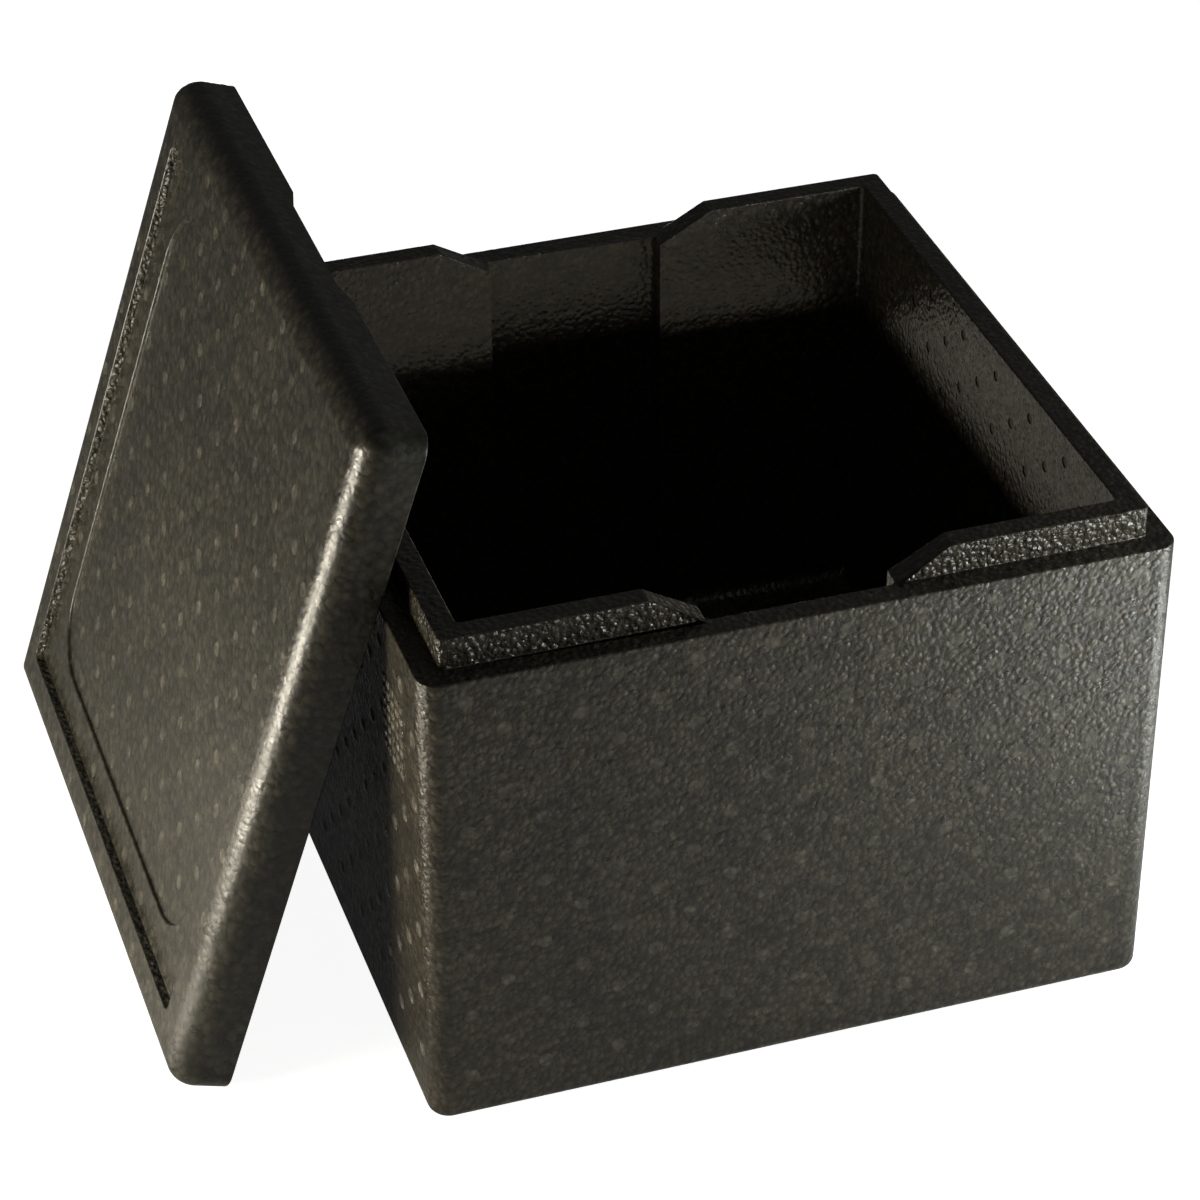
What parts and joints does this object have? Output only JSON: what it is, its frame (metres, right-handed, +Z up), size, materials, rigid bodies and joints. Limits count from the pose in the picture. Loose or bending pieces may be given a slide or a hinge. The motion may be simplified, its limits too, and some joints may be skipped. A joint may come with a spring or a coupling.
{
  "type": "insulated pizza box",
  "caption": "Square moulded-foam insulated box with a raised rim, hand channels and a loose grooved lid that leans against its side.",
  "frame": {"origin": "centre of the flat face under the box body's foot, on the floor", "axes": "+Z up, +X to the right along the box's front, +Y to the back"},
  "size_m": [0.5366, 0.472, 0.3965],
  "materials": {
    "body_foam": "bead-grained moulded polypropylene foam, dark charcoal",
    "lid_foam": "bead-grained moulded polypropylene foam, dark charcoal"
  },
  "bodies": {
    "box": {"box_body": "body_foam"},
    "lid": {"lid": "lid_foam"}
  },
  "joints": [
    {"name": "lid_lift", "type": "slide", "parent": "box", "child": "lid", "axis": [0, 0, 1], "range_m": [0, 0.33]}
  ]
}
